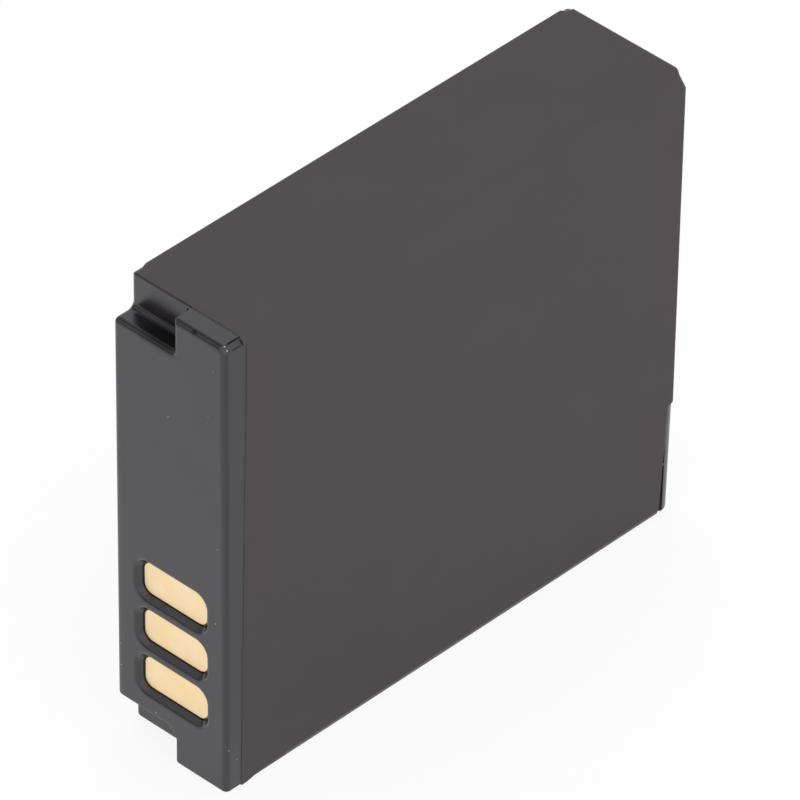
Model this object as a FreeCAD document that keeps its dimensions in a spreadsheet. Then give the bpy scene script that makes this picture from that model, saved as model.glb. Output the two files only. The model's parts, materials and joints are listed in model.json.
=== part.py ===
import FreeCAD, Part
import os
import Sketcher

# A flat rechargeable camera battery pack that stands on its long narrow side.
# Drawn from its contact corner: x runs from the contact end to the far end,
# y from the big face with the flap's fold to the other big face, z upwards.
# Every finished piece is then placed about the middle of the base.

doc = FreeCAD.newDocument("camera_battery")
sizes = doc.addObject("Spreadsheet::Sheet", "sizes")

# name, millimetres, what it measures
size_list = [
    ("pack_thickness", 9.8, "over the label on both big faces"),
    ("pack_height", 35.0, "base to the label on the upper narrow face"),
    ("body_length", 40.05, "contact face to the far end's upright face"),
    ("label_thickness", 0.1, "printed film"),
    ("edge_radius", 0.4, "outer edges of the mouldings"),
    ("cap_length", 5.2, "front cap, contact face to its mouth on the can's lid"),
    ("front_wall", 0.55, "wall that the contact windows go through"),
    ("side_wall", 0.6, "cap's walls at the big faces"),
    ("rail_wall", 0.7, "cap's walls at the narrow faces and behind the notches"),
    ("bevel_width", 0.4, "bevel between the cap's top and its front big face"),
    ("bevel_height", 0.45, "the same bevel, downwards"),
    ("notch_width", 5.17, "keying notches, from the rear big face"),
    ("notch_height", 2.6, "keying notches, from the narrow faces"),
    ("notch_depth", 1.6, "keying notches, from the contact face"),
    ("notch_corner", 0.9, "inner corner of the lower notch"),
    ("small_radius", 0.15, "sharper edges round the notches and windows"),
    ("window_width", 5.65, "contact windows across the thickness, at the plates"),
    ("window_height", 2.57, "contact windows upwards, at the plates"),
    ("window_pitch", 3.74, "from one window to the next"),
    ("window_side", 1.94, "front big face of the cap to the windows"),
    ("window_margin", 1.75, "lower notch to the lowest window"),
    ("window_corner", 0.75, "corners of the windows"),
    ("window_slope", 0.35, "slopes round the windows, inwards and sideways"),
    ("window_rim", 0.3, "soft outer rims of the slopes"),
    ("rail_thickness", 0.8, "frame's rails along the narrow faces"),
    ("rail_lip", 0.8, "rails' lips beside the can, past the rail"),
    ("end_wall", 1.0, "frame's wall at the far end"),
    ("foot_low", 0.35, "far end's foot over the upright face, at the base"),
    ("foot_high", 0.68, "the same foot at the step"),
    ("foot_radius", 0.95, "upright edges of the foot"),
    ("base_radius", 0.25, "edges along the base"),
    ("step_height", 8.4, "base to the far end's step"),
    ("pad_low", 0.35, "far end's pad over the upright face, at the step"),
    ("pad_high", 0.8, "the same pad at its top"),
    ("pad_drop", 1.85, "cap's top level to the pad's top"),
    ("pad_bevel", 1.3, "slope over the pad"),
    ("shoulder", 0.18, "far end over the upright face, at the top of that slope"),
    ("seam_height", 5.7, "base to the end of the seam beside the foot"),
    ("seam_width", 0.5, "seam at the base"),
    ("seam_depth", 0.25, "seam, from the big faces"),
    ("tongue_length", 1.5, "frame's tongues inside the cap"),
    ("tongue_thickness", 0.35, "frame's tongues"),
    ("tongue_inset", 1.6, "tongues in from the big faces"),
    ("joint_gap", 0.05, "clearance round the tongues"),
    ("can_radius", 1.6, "long corners of the drawn can"),
    ("can_base_radius", 0.8, "edge of the can's drawn base"),
    ("vent_length", 5.0, "scored vent in the lid, upwards"),
    ("vent_width", 2.2, "scored vent in the lid, across"),
    ("vent_depth", 0.1, "scored vent"),
    ("rear_tape_thickness", 0.15, "tape between the can's base and the frame"),
    ("tape_margin", 1.8, "tape in from the can's sides"),
    ("contact_thickness", 0.15, "contact plates"),
    ("contact_overlap", 0.12, "plates past their windows, all round"),
    ("board_thickness", 0.8, "protection board"),
    ("board_gap", 0.1, "board and spacer to the cap's walls"),
    ("spacer_wall", 0.6, "board spacer"),
    ("insulator_thickness", 0.2, "fibre sheet on the lid"),
    ("insulator_gap", 0.2, "fibre sheet round what stands on the lid"),
    ("strip_thickness", 0.15, "nickel strips"),
    ("strip_width", 2.5, "nickel strips"),
    ("gasket_thickness", 0.3, "terminal's insulating gasket"),
    ("terminal_thickness", 0.4, "riveted terminal plate"),
    ("terminal_length", 5.0, "riveted terminal plate, upwards"),
    ("terminal_width", 2.8, "riveted terminal plate, across"),
    ("gasket_border", 0.5, "gasket past the terminal plate"),
    ("plug_radius", 0.7, "plug of the filling hole"),
    ("plug_thickness", 0.25, "plug of the filling hole"),
    ("plug_drop", 5.0, "terminal's middle down to the plug"),
    ("fuse_thickness", 1.1, "thermal cut-out"),
    ("fuse_length", 5.0, "thermal cut-out, upwards"),
    ("fuse_width", 3.0, "thermal cut-out, across"),
    ("fuse_gap", 0.6, "gasket to the thermal cut-out"),
    ("lead_overlap", 4.0, "strip's length on the terminal plate"),
    ("negative_reach", 2.4, "negative strip past the thermal cut-out"),
    ("plate_thickness", 0.25, "clad plate on the lid"),
    ("plate_length", 3.4, "clad plate, upwards"),
    ("plate_start", 4.9, "base to the clad plate"),
    ("leg_length", 3.2, "strips' legs on the board"),
    ("solder_radius", 1.0, "solder joints"),
    ("solder_height", 0.3, "solder joints"),
    ("chip_length", 1.6, "chip parts on the board"),
    ("chip_width", 0.8, "chip parts on the board"),
    ("chip_cap", 0.3, "chip parts' metal ends"),
    ("chip_step", 0.03, "metal ends past the chip parts' bodies"),
    ("chip_row", 2.4, "board's middle line to the chip parts"),
    ("control_length", 2.9, "protection circuit's package"),
    ("control_width", 1.6, "protection circuit's package"),
    ("control_drop", 6.2, "board's middle down to the protection circuit"),
    ("switch_length", 3.0, "switch pair's package"),
    ("switch_width", 4.4, "switch pair's package"),
    ("package_height", 1.0, "both packages"),
    ("lead_width", 0.4, "packages' leads"),
    ("lead_reach", 0.5, "leads past their package"),
    ("lead_height", 0.2, "packages' leads"),
    ("lead_pitch", 0.8, "packages' leads"),
    ("label_front", 1.65, "contact face to the label on the upper narrow face"),
    ("label_front_high", 1.97, "contact face to the label's edge, at the top of the big faces"),
    ("label_front_low", 1.32, "the same edge at the base"),
    ("label_corner", 0.75, "rear big face to the start of the cut that takes off the label's corner"),
    ("label_rear_front", 3.0, "contact face to the label on the rear big face"),
    ("label_tip", 0.03, "base to the label's lower corner at the contact end"),
    ("label_tip_length", 2.0, "that corner, to where the lower edge is level"),
    ("label_base", 0.5, "base to the label's lower edge"),
    ("label_end_high", 0.33, "far end to the label's edge, at the step"),
    ("label_end_low", 1.05, "far end to the label's edge, at the base"),
    ("flap_gap", 0.2, "step to the flap's lower edge"),
    ("flap_margin", 0.7, "rear big face to the flap's free edge"),
]

for row, (alias, value, note) in enumerate(size_list, start=1):
    sizes.set("A%d" % row, alias)
    sizes.set("B%d" % row, str(value))
    sizes.setAlias("B%d" % row, alias)
    sizes.set("C%d" % row, note)
doc.recompute()
hair = 0.001  # millimetres: places closer than this are the same

# Places that several pieces share, as expressions on the sheet
cap_low_y = "sizes.label_thickness"
cap_high_y = "(sizes.pack_thickness - sizes.label_thickness)"
cap_top = "(sizes.pack_height - sizes.label_thickness)"
cap_width = "(sizes.pack_thickness - 2 * sizes.label_thickness)"
notch_y = "(%s - sizes.notch_width)" % cap_high_y
notch_top = "(%s - sizes.notch_height)" % cap_top
overall_length = "(sizes.body_length + sizes.pad_high + sizes.label_thickness)"
pad_top = "(%s - sizes.pad_drop)" % cap_top
window_low_y = "(%s + sizes.window_side)" % cap_low_y
window_low_z = "(sizes.notch_height + sizes.window_margin)"
lid = "sizes.cap_length"
middle_y = "(sizes.pack_thickness / 2)"
middle_z = "(%s / 2)" % cap_top
board_front = "(sizes.front_wall + sizes.contact_thickness)"
board_back = "(%s + sizes.board_thickness)" % board_front
bay_low_y = "(%s + sizes.side_wall + sizes.board_gap)" % cap_low_y
bay_width = "(%s - 2 * (sizes.side_wall + sizes.board_gap))" % cap_width
bay_low_z = "(sizes.notch_height + sizes.rail_wall + sizes.board_gap)"
bay_height = "(%s - 2 * %s)" % (cap_top, bay_low_z)
can_low_z = "sizes.rail_thickness"
can_high_z = "(%s - sizes.rail_thickness)" % cap_top
can_end = "(sizes.body_length - sizes.end_wall - sizes.rear_tape_thickness)"
strip_low_y = "(%s - sizes.strip_width / 2)" % middle_y
past = "1"
below = "-%s" % past
beyond_y = "(sizes.pack_thickness + %s)" % past
beyond_z = "(sizes.pack_height + %s)" % past
across_y = "(sizes.pack_thickness + 2 * %s)" % past
across_z = "(sizes.pack_height + 2 * %s)" % past
terminal_face = "(%s - sizes.gasket_thickness - sizes.terminal_thickness)" % lid
plate_face = "(%s - sizes.plate_thickness)" % lid
fuse_low = "(%s + sizes.terminal_length / 2 + sizes.gasket_border + sizes.fuse_gap)" % middle_z
contact_names = ["contact_minus", "contact_sense", "contact_plus"]


def place(thing, x="0", y="0", z="0"):
    thing.setExpression("Placement.Base.x", "%s - %s / 2" % (x, overall_length))
    thing.setExpression("Placement.Base.y", "%s - %s" % (y, middle_y))
    thing.setExpression("Placement.Base.z", z)


def block(name, x, y, z, length, width, height):
    made = doc.addObject("Part::Box", name)
    made.Label = name
    made.setExpression("Length", length)
    made.setExpression("Width", width)
    made.setExpression("Height", height)
    place(made, x, y, z)
    return made


def joined(name, shapes):
    made = doc.addObject("Part::MultiFuse", name)
    made.Label = name
    made.Shapes = shapes
    made.Refine = True
    return made


def less(name, base, tools):
    tool = tools[0] if len(tools) == 1 else joined(name + "_tools", tools)
    made = doc.addObject("Part::Cut", name)
    made.Label = name
    made.Base = base
    made.Tool = tool
    return made


def new_body(name):
    made = doc.addObject("PartDesign::Body", name)
    made.Label = name
    place(made)
    return made


# A closed outline on one of the body's own planes, each corner held by two sizes
def outline(owner, name, role, offset, corners):
    sketch = owner.newObject("Sketcher::SketchObject", name)
    plane = [part for part in owner.Origin.OriginFeatures if part.Role == role][0]
    sketch.AttachmentSupport = [(plane, "")]
    sketch.MapMode = "FlatFace"
    sketch.setExpression("AttachmentOffset.Base.z", offset)
    count = len(corners)
    turn = FreeCAD.Rotation(FreeCAD.Vector(0, 0, 1), 360.0 / count)
    start = [FreeCAD.Vector(10, 0, 0)]
    for i in range(count - 1):
        start.append(turn.multVec(start[-1]))
    for i in range(count):
        sketch.addGeometry(Part.LineSegment(start[i], start[(i + 1) % count]), False)
    for i in range(count):
        sketch.addConstraint(Sketcher.Constraint("Coincident", i, 2, (i + 1) % count, 1))
    for i, (across, up) in enumerate(corners):
        for axis, kind, place_of in (("across", "DistanceX", across), ("up", "DistanceY", up)):
            held = sketch.addConstraint(Sketcher.Constraint(kind, -1, 1, i, 1, 1.0))
            sketch.renameConstraint(held, "%s_%d" % (axis, i))
            sketch.setExpression("Constraints.%s_%d" % (axis, i), place_of)
    return sketch


def rectangle(owner, name, role, offset, low_across, low_up, high_across, high_up):
    lower = [(low_across, low_up), (high_across, low_up)]
    upper = [(high_across, high_up), (low_across, high_up)]
    return outline(owner, name, role, offset, lower + upper)


def pad(owner, name, sketch, length, reverse=False):
    made = owner.newObject("PartDesign::Pad", name)
    made.Profile = sketch
    made.setExpression("Length", length)
    made.Reversed = reverse
    doc.recompute()
    return made


def pocket(owner, name, sketch, length, reverse=False):
    made = owner.newObject("PartDesign::Pocket", name)
    made.Profile = sketch
    made.setExpression("Length", length)
    made.Reversed = reverse
    doc.recompute()
    return made


def fillet(owner, name, base, edges, radius):
    made = owner.newObject("PartDesign::Fillet", name)
    made.Base = (base, edges)
    made.setExpression("Radius", radius)
    doc.recompute()
    return made


# Names of the straight edges along one axis whose middle passes a test
def edges_where(shape, axis, test):
    found = []
    for number, edge in enumerate(shape.Edges, start=1):
        ends = [vertex.Point for vertex in edge.Vertexes]
        run = ends[-1] - ends[0]
        straight = run.Length > edge.Length - hair
        along = abs(getattr(run, axis)) > run.Length - hair
        if straight and along and test((ends[0] + ends[-1]) / 2):
            found.append("Edge%d" % number)
    return found


# The same for straight edges that follow no axis
def slanted_edges(shape, test):
    square = [name for axis in ("x", "y", "z") for name in edges_where(shape, axis, test)]
    found = []
    for number, edge in enumerate(shape.Edges, start=1):
        ends = [vertex.Point for vertex in edge.Vertexes]
        straight = (ends[-1] - ends[0]).Length > edge.Length - hair
        if straight and "Edge%d" % number not in square and test((ends[0] + ends[-1]) / 2):
            found.append("Edge%d" % number)
    return found


def near(value, target):
    return abs(value - target) < hair


# Front cap: outer block with its bevel, keying notches, board bay and contact windows
def make_front_cap():
    cap = new_body("front_cap")
    section_line = [
        (cap_low_y, "0"),
        (cap_high_y, "0"),
        (cap_high_y, cap_top),
        ("%s + sizes.bevel_width" % cap_low_y, cap_top),
        (cap_low_y, "%s - sizes.bevel_height" % cap_top),
    ]
    section = outline(cap, "cap_section", "YZ_Plane", "0", section_line)
    pad(cap, "cap_block", section, lid)
    upper = rectangle(cap, "upper_notch_outline", "YZ_Plane", "0", notch_y, notch_top, beyond_y, beyond_z)
    pocket(cap, "upper_notch", upper, "sizes.notch_depth", True)
    lower = rectangle(cap, "lower_notch_outline", "YZ_Plane", "0",
                      notch_y, below, beyond_y, "sizes.notch_height + sizes.small_radius")
    notched = pocket(cap, "lower_notch", lower, "sizes.notch_depth", True)

    low_y = sizes.label_thickness
    high_y = sizes.pack_thickness - sizes.label_thickness
    top = sizes.pack_height - sizes.label_thickness
    side = high_y - sizes.notch_width
    floor = top - sizes.notch_height
    ceiling = sizes.notch_height + sizes.small_radius
    deep = sizes.notch_depth

    inner = edges_where(notched.Shape, "x", lambda c: near(c.y, side) and near(c.z, ceiling))
    turned = fillet(cap, "lower_notch_corner", notched, inner, "sizes.notch_corner")
    inner = edges_where(turned.Shape, "x", lambda c: near(c.y, side) and near(c.z, floor))
    eased = fillet(cap, "upper_notch_corner", turned, inner, "sizes.small_radius")
    ledges = (floor, ceiling)
    roots = edges_where(eased.Shape, "y", lambda c: near(c.x, deep) and any(near(c.z, z) for z in ledges))
    rooted = fillet(cap, "notch_roots", eased, roots, "sizes.edge_radius")
    rim = edges_where(rooted.Shape, "z", lambda c: near(c.x, 0) and near(c.y, side) and c.z < ceiling)
    rooted = fillet(cap, "lower_notch_rim", rooted, rim, "sizes.small_radius")
    outer = edges_where(rooted.Shape, "x", lambda c: near(c.y, high_y) and not near(c.z, 0))
    outer += edges_where(rooted.Shape, "z", lambda c: near(c.y, high_y) and c.x < deep + hair)
    outer += edges_where(rooted.Shape, "z", lambda c: near(c.x, 0) and near(c.y, low_y))
    outer += edges_where(rooted.Shape, "z", lambda c: near(c.x, 0) and near(c.y, side) and c.z > floor)
    outer += edges_where(rooted.Shape, "y", lambda c: near(c.x, 0) and c.z > ceiling + hair)
    outer += slanted_edges(rooted.Shape, lambda c: near(c.x, 0) and c.y < low_y + sizes.bevel_width)
    rounded = fillet(cap, "cap_outer_edges", rooted, outer, "sizes.edge_radius")
    faces = (low_y, high_y)
    base = edges_where(rounded.Shape, "x", lambda c: near(c.z, 0) and any(near(c.y, y) for y in faces))
    base += edges_where(rounded.Shape, "y", lambda c: near(c.z, 0) and near(c.x, 0))
    rounded = fillet(cap, "cap_base_edges", rounded, base, "sizes.base_radius")
    brows = edges_where(rounded.Shape, "y", lambda c: near(c.x, deep) and (near(c.z, top) or near(c.z, 0)))
    fillet(cap, "notch_brows", rounded, brows, "sizes.small_radius")

    mouth = rectangle(cap, "mouth_outline", "YZ_Plane", lid,
                      "%s + sizes.side_wall" % cap_low_y, "sizes.rail_wall",
                      "%s - sizes.side_wall" % cap_high_y, "%s - sizes.rail_wall" % cap_top)
    pocket(cap, "mouth", mouth, "%s - sizes.notch_depth - sizes.rail_wall" % lid)
    bay = rectangle(cap, "bay_outline", "YZ_Plane", lid,
                    "%s + sizes.side_wall" % cap_low_y, "sizes.notch_height + sizes.rail_wall",
                    "%s - sizes.side_wall" % cap_high_y, "%s - sizes.rail_wall" % notch_top)
    pocket(cap, "board_bay", bay, "%s - sizes.front_wall" % lid)
    for name, low, high in (("lower", "sizes.rail_wall - sizes.tongue_thickness", "sizes.rail_wall"),
                            ("upper", "%s - sizes.rail_wall" % cap_top,
                             "%s - sizes.rail_wall + sizes.tongue_thickness" % cap_top)):
        seat = rectangle(cap, name + "_seat_outline", "YZ_Plane", lid,
                         "sizes.tongue_inset - sizes.joint_gap", low,
                         "sizes.pack_thickness - sizes.tongue_inset + sizes.joint_gap", high)
        pocket(cap, name + "_tongue_seat", seat, "sizes.tongue_length + sizes.joint_gap")

    window = rectangle(cap, "window_outline", "YZ_Plane", "0", window_low_y, window_low_z,
                       "%s + sizes.window_width" % window_low_y, "%s + sizes.window_height" % window_low_z)
    first = pocket(cap, "contact_window", window, "sizes.front_wall", True)
    row = cap.newObject("PartDesign::LinearPattern", "window_row")
    row.Originals = [first]
    row.Direction = (window, ["V_Axis"])
    row.Occurrences = len(contact_names)
    row.setExpression("Length", "%d * sizes.window_pitch" % (len(contact_names) - 1))
    cap.Tip = row
    doc.recompute()
    wall = sizes.front_wall
    window_sides = (low_y + sizes.window_side, low_y + sizes.window_side + sizes.window_width)
    corners = edges_where(row.Shape, "x", lambda c: c.x < wall and any(near(c.y, y) for y in window_sides))
    cornered = fillet(cap, "window_corners", row, corners, "sizes.window_corner")
    lowest = sizes.notch_height + sizes.window_margin
    highest = lowest + (len(contact_names) - 1) * sizes.window_pitch + sizes.window_height
    rims = edges_where(cornered.Shape, "y", lambda c: near(c.x, 0) and lowest - hair < c.z < highest + hair)
    slopes = cap.newObject("PartDesign::Chamfer", "window_slopes")
    slopes.Base = (cornered, rims)
    slopes.setExpression("Size", "sizes.window_slope")
    doc.recompute()
    wide = sizes.window_slope + hair
    rims = edges_where(slopes.Shape, "y", lambda c: near(c.x, 0) and lowest - wide < c.z < highest + wide)
    fillet(cap, "window_rims", slopes, rims, "sizes.window_rim")


# The pack's outer form, grown by the film's thickness for the label
def make_envelope(name, grow):
    start = "%s - sizes.label_thickness" % grow
    width = "%s + 2 * %s" % (cap_width, grow)
    upright = "sizes.body_length + %s" % grow
    top = "%s + %s" % (cap_top, grow)
    foot_line = [
        ("0", "-%s" % grow),
        ("%s + sizes.foot_low" % upright, "-%s" % grow),
        ("%s + sizes.foot_high" % upright, "sizes.step_height"),
        ("0", "sizes.step_height"),
    ]
    head_line = [
        ("0", "sizes.step_height"),
        ("%s + sizes.pad_low" % upright, "sizes.step_height"),
        ("%s + sizes.pad_high" % upright, pad_top),
        ("%s + sizes.shoulder" % upright, "%s + sizes.pad_bevel" % pad_top),
        (upright, top),
        ("0", top),
    ]
    far = sizes.cap_length
    step = sizes.step_height
    level = sizes.pack_height - sizes.label_thickness - hair
    halves = []
    for half, line in (("foot", foot_line), ("head", head_line)):
        owner = new_body("%s_%s" % (name, half))
        side = outline(owner, "%s_%s_side" % (name, half), "XZ_Plane", start, line)
        solid = pad(owner, "%s_%s_block" % (name, half), side, width, True)
        upright_edges = edges_where(solid.Shape, "z", lambda c: c.x > far)
        upright_edges += slanted_edges(solid.Shape, lambda c: c.x > far)
        if half == "foot":
            solid = fillet(owner, "%s_foot_corners" % name, solid, upright_edges,
                           "sizes.foot_radius + %s" % grow)
            upright_edges = []
        edges = edges_where(solid.Shape, "x", lambda c: not near(c.z, step))
        edges += edges_where(solid.Shape, "y", lambda c: c.x > far and (c.z < hair or c.z > level))
        half_radius = {"foot": "sizes.base_radius", "head": "sizes.edge_radius"}[half]
        fillet(owner, "%s_%s_edges" % (name, half), solid, edges + upright_edges,
               "%s + %s" % (half_radius, grow))
        halves.append(owner)
    return joined(name, halves)


# Frame: two rails with lips that hold the can, the far end's wall and two tongues
def make_case_frame(core):
    front = block("frame_front", below, below, below, "%s + %s" % (lid, past), across_y, across_z)
    space = new_body("can_space")
    section = rectangle(space, "can_space_section", "YZ_Plane", lid,
                        cap_low_y, can_low_z, cap_high_y, can_high_z)
    can_room = "sizes.body_length - sizes.end_wall - %s" % lid
    room = pad(space, "can_space_block", section, can_room)
    long_edges = edges_where(room.Shape, "x", lambda c: True)
    fillet(space, "can_space_corners", room, long_edges, "sizes.can_radius")
    lip_low = "(sizes.rail_thickness + sizes.rail_lip)"
    openings = block("face_openings", lid, below, lip_low,
                     can_room, across_y, "%s - 2 * %s" % (cap_top, lip_low))
    foot_end = "(sizes.body_length + sizes.foot_low - sizes.foot_radius)"
    seam_line = [
        ("%s - sizes.seam_width" % foot_end, below),
        (foot_end, below),
        ("%s + (sizes.foot_high - sizes.foot_low) * sizes.seam_height / sizes.step_height" % foot_end,
         "sizes.seam_height"),
    ]
    seams = []
    for face, offset in (("front", past), ("rear", "sizes.seam_depth - %s" % cap_high_y)):
        owner = new_body(face + "_seam")
        side = outline(owner, face + "_seam_side", "XZ_Plane", offset, seam_line)
        depth = "%s + %s + sizes.seam_depth" % (past, cap_low_y)
        pad(owner, face + "_seam_block", side, depth, True)
        seams.append(owner)
    rails = less("frame_rails", core, [front, space, openings] + seams)
    tongues = []
    for name, low in (("lower", "sizes.rail_wall - sizes.tongue_thickness"),
                      ("upper", "%s - sizes.rail_wall" % cap_top)):
        tongues.append(block(name + "_tongue", "%s - sizes.tongue_length" % lid, "sizes.tongue_inset", low,
                             "sizes.tongue_length", "sizes.pack_thickness - 2 * sizes.tongue_inset",
                             "sizes.tongue_thickness"))
    return joined("case_frame", [rails] + tongues)


# A solid with the given side view that reaches past both big faces, for trimming the label,
# or with the given top view that reaches past the base and the top
def trim(name, corners, seen_from="side"):
    owner = new_body(name)
    if seen_from == "side":
        side = outline(owner, name + "_side", "XZ_Plane", past, corners)
        pad(owner, name + "_block", side, across_y, True)
    else:
        top = outline(owner, name + "_top", "XY_Plane", below, corners)
        pad(owner, name + "_block", top, across_z)
    return owner


# Label: film over both big faces, the upper narrow face and, as a flap, the far end
def make_label(core):
    skin = make_envelope("label_skin", "sizes.label_thickness")
    fold = "%s - sizes.edge_radius" % cap_top
    beyond_x = "%s + %s" % (overall_length, past)
    front = trim("label_front_trim", [
        (below, below),
        ("sizes.label_front_low", below),
        ("sizes.label_front_high", fold),
        ("sizes.label_front", fold),
        ("sizes.label_front", beyond_z),
        (below, beyond_z),
    ])
    foot = trim("label_base_trim", [
        (below, below),
        (beyond_x, below),
        (beyond_x, "sizes.label_base"),
        ("sizes.label_front_low + sizes.label_tip_length", "sizes.label_base"),
        ("sizes.label_front_low", "sizes.label_tip"),
        (below, "sizes.label_tip"),
    ])
    rear = trim("label_rear_trim", [
        (below, "sizes.pack_thickness - sizes.label_corner"),
        ("sizes.label_front", "sizes.pack_thickness - sizes.label_corner"),
        ("sizes.label_rear_front", "sizes.pack_thickness - sizes.label_thickness"),
        ("sizes.label_rear_front", beyond_y),
        (below, beyond_y),
    ], "top")
    flap_low = "sizes.step_height + sizes.flap_gap"
    corner = trim("label_end_trim", [
        ("sizes.body_length - sizes.label_end_low", below),
        (beyond_x, below),
        (beyond_x, flap_low),
        ("sizes.body_length - sizes.label_end_high", flap_low),
    ])
    past_flap = "sizes.flap_margin + %s" % past
    margin = block("label_back_trim", "sizes.body_length - sizes.flap_margin",
                   "sizes.pack_thickness - sizes.flap_margin", below,
                   "sizes.pad_high + %s" % past_flap, past_flap, across_z)
    sheet = less("label_sheet", skin, [front, foot, rear, corner, margin])
    return less("label_wrap", sheet, [core])


# Cell: one sealed can with a drawn base and a scored vent in its lid
def make_cell():
    can = new_body("cell_can")
    section = rectangle(can, "can_section", "YZ_Plane", lid, cap_low_y, can_low_z, cap_high_y, can_high_z)
    solid = pad(can, "can_block", section, "%s - %s" % (can_end, lid))
    long_edges = edges_where(solid.Shape, "x", lambda c: True)
    sides = fillet(can, "can_corners", solid, long_edges, "sizes.can_radius")
    far = sizes.body_length - sizes.end_wall - sizes.rear_tape_thickness
    base_edges = ["Edge%d" % n for n, edge in enumerate(sides.Shape.Edges, start=1)
                  if near(edge.BoundBox.XMin, far) and near(edge.BoundBox.XMax, far)]
    drawn = fillet(can, "can_base_edge", sides, base_edges, "sizes.can_base_radius")
    vent_low = "%s + sizes.terminal_length / 2 + sizes.gasket_border + sizes.fuse_gap" % middle_z
    vent = rectangle(can, "vent_outline", "YZ_Plane", lid,
                     "%s - sizes.vent_width / 2" % middle_y, vent_low,
                     "%s + sizes.vent_width / 2" % middle_y, "%s + sizes.vent_length" % vent_low)
    pocket(can, "vent", vent, "sizes.vent_depth")
    return can


# What stands on the lid: gasket, terminal, plug, clad plate and the fibre sheet round them
def make_lid_parts():
    gasket_length = "(sizes.terminal_length + 2 * sizes.gasket_border)"
    gasket_width = "(sizes.terminal_width + 2 * sizes.gasket_border)"
    block("terminal_gasket", "%s - sizes.gasket_thickness" % lid,
          "%s - %s / 2" % (middle_y, gasket_width), "%s - %s / 2" % (middle_z, gasket_length),
          "sizes.gasket_thickness", gasket_width, gasket_length)
    block("cell_terminal", terminal_face,
          "%s - sizes.terminal_width / 2" % middle_y, "%s - sizes.terminal_length / 2" % middle_z,
          "sizes.terminal_thickness", "sizes.terminal_width", "sizes.terminal_length")
    round_piece("fill_plug", "%s - sizes.plug_thickness" % lid, middle_y,
                "%s - sizes.plug_drop" % middle_z, "sizes.plug_radius", "sizes.plug_thickness")
    block("positive_plate", plate_face, strip_low_y, "sizes.plate_start",
          "sizes.plate_thickness", "sizes.strip_width", "sizes.plate_length")

    sheet = block("insulator_sheet", "%s - sizes.insulator_thickness" % lid, bay_low_y, bay_low_z,
                  "sizes.insulator_thickness", bay_width, bay_height)
    gap = "sizes.insulator_gap"
    depth = "sizes.insulator_thickness + 2 * %s" % past
    start = "%s - sizes.insulator_thickness - %s" % (lid, past)
    gasket_hole = block("gasket_hole", start, "%s - %s / 2 - %s" % (middle_y, gasket_width, gap),
                        "%s - %s / 2 - %s" % (middle_z, gasket_length, gap),
                        depth, "%s + 2 * %s" % (gasket_width, gap), "%s + 2 * %s" % (gasket_length, gap))
    plug_hole = round_piece("plug_hole", start, middle_y, "%s - sizes.plug_drop" % middle_z,
                            "sizes.plug_radius + %s" % gap, depth)
    plate_hole = block("plate_hole", start, "%s - %s" % (strip_low_y, gap), "sizes.plate_start - %s" % gap,
                       depth, "sizes.strip_width + 2 * %s" % gap, "sizes.plate_length + 2 * %s" % gap)
    less("lid_insulator", sheet, [gasket_hole, plug_hole, plate_hole])
    block("rear_tape", can_end, "%s + sizes.tape_margin" % cap_low_y, "%s + sizes.tape_margin" % can_low_z,
          "sizes.rear_tape_thickness", "%s - 2 * sizes.tape_margin" % cap_width,
          "%s - 2 * (sizes.rail_thickness + sizes.tape_margin)" % cap_top)


# A round piece lying along x
def round_piece(name, x, y, z, radius, length):
    made = doc.addObject("Part::Cylinder", name)
    made.Label = name
    made.setExpression("Radius", radius)
    made.setExpression("Height", length)
    made.Placement.Rotation = FreeCAD.Rotation(FreeCAD.Vector(0, 1, 0), 90)
    place(made, x, y, z)
    return made


# A bent strip: its side view, as wide as the strips are
def strip(name, corners):
    owner = new_body(name)
    side = outline(owner, name + "_side", "XZ_Plane", "-%s" % strip_low_y, corners)
    pad(owner, name + "_bend", side, "sizes.strip_width", True)
    return owner


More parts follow.
